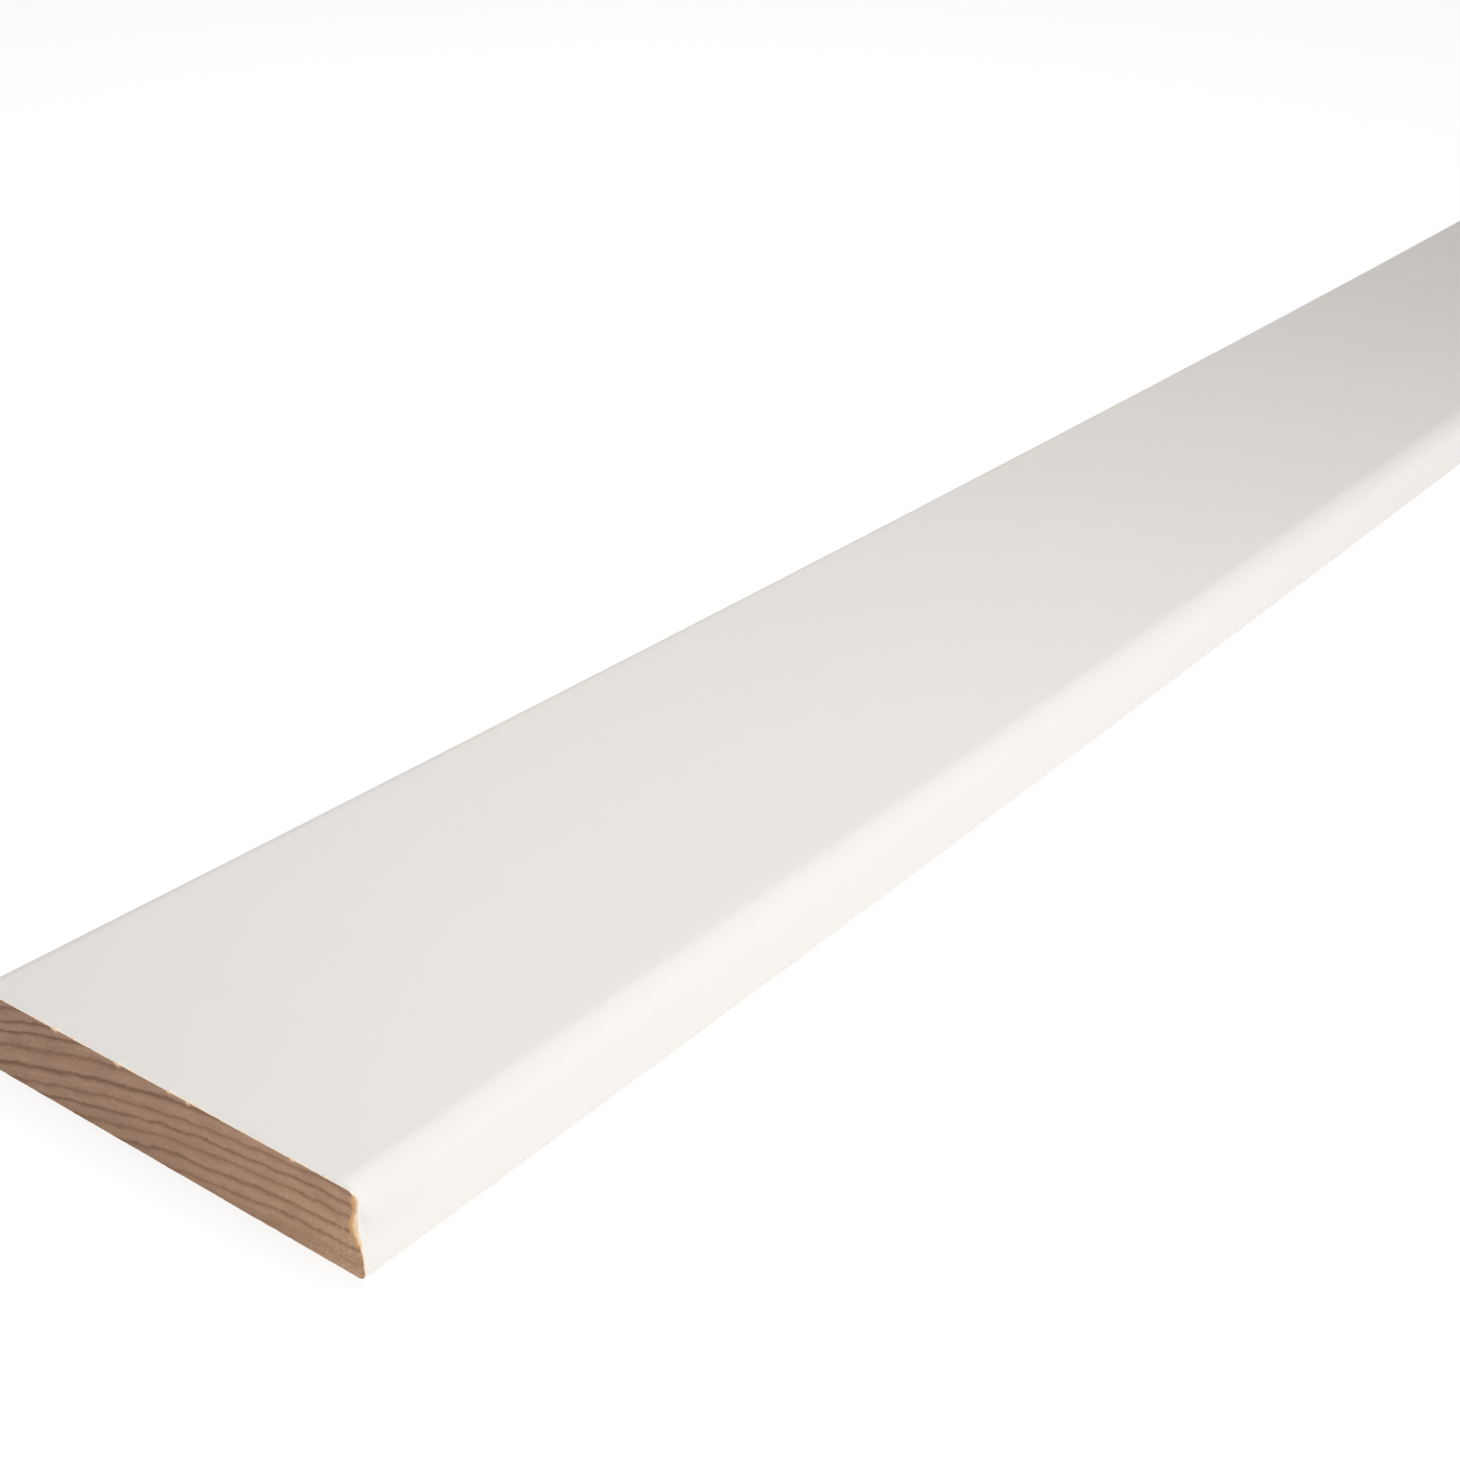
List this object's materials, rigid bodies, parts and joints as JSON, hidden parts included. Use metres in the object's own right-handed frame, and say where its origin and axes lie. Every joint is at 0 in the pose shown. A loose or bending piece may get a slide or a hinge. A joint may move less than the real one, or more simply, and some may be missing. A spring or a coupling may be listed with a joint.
{
  "type": "edge trim moulding",
  "caption": "Length of flat, white-painted softwood trim with rounded face edges and square sawn ends, for covering the joint at the edge of a wall, opening or floor.",
  "frame": {"origin": "middle of the back, the side that goes against the wall", "axes": "+X along the length, away from the sawn end that the picture shows; +Y across the width, with the long edge nearer the camera at -Y; +Z out of the painted face"},
  "size_m": [0.55, 0.07, 0.0136],
  "materials": {
    "painted_pine": "satin white paint on the face and long edges of solid pine, bare wood at the sawn ends and on the back"
  },
  "bodies": {
    "root": {"edge_trim": "painted_pine"}
  },
  "joints": []
}
